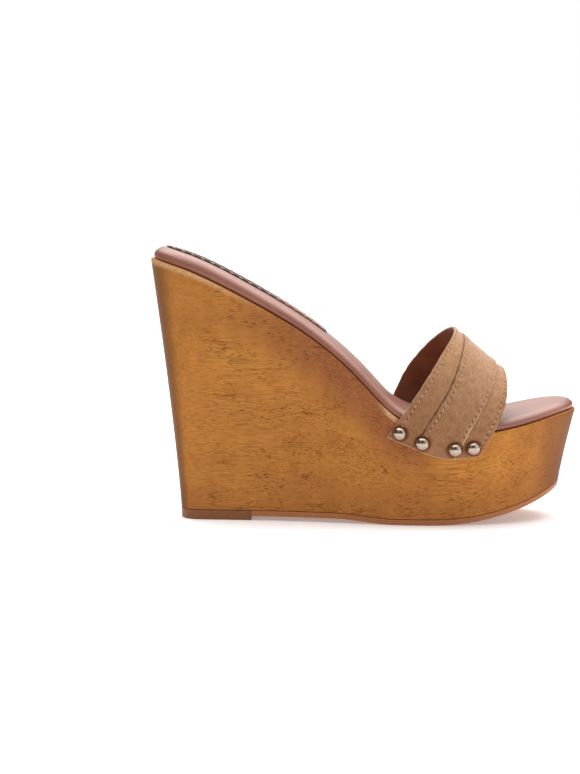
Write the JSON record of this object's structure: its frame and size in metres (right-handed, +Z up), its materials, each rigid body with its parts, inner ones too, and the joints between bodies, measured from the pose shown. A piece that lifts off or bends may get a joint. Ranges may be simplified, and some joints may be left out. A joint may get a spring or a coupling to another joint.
{
  "type": "wedge clog",
  "caption": "High wooden wedge clog with a fanned three-band leather strap, a padded leather footbed, domed nails and a thin rubber sole.",
  "frame": {"origin": "the middle of the heel lift's flat underside, on the floor", "axes": "+X towards the toe, +Y towards the inner side of the foot, +Z up; the outer side is at -Y"},
  "size_m": [0.2265, 0.0986, 0.1447],
  "materials": {
    "wood": "satin lacquered wood with a fine lengthwise grain",
    "outsole_rubber": "matt brown rubber",
    "lift_rubber": "matt dark brown rubber",
    "footbed_leather": "soft semi-matt pinkish nude leather",
    "sock_leather": "matt dark brown lining leather",
    "strap_nubuck": "matt tan nubuck, dark brown smooth lining",
    "nail_metal": "polished pale gold plating"
  },
  "bodies": {
    "root": {"wedge": "wood", "outsole": "outsole_rubber", "heel_lift": "lift_rubber", "footbed": "footbed_leather", "heel_sock": "sock_leather", "upper": "strap_nubuck", "nail_outer_1": "nail_metal", "nail_outer_2": "nail_metal", "nail_outer_3": "nail_metal", "nail_outer_4": "nail_metal", "nail_inner_1": "nail_metal", "nail_inner_2": "nail_metal", "nail_inner_3": "nail_metal", "nail_inner_4": "nail_metal"}
  },
  "joints": []
}
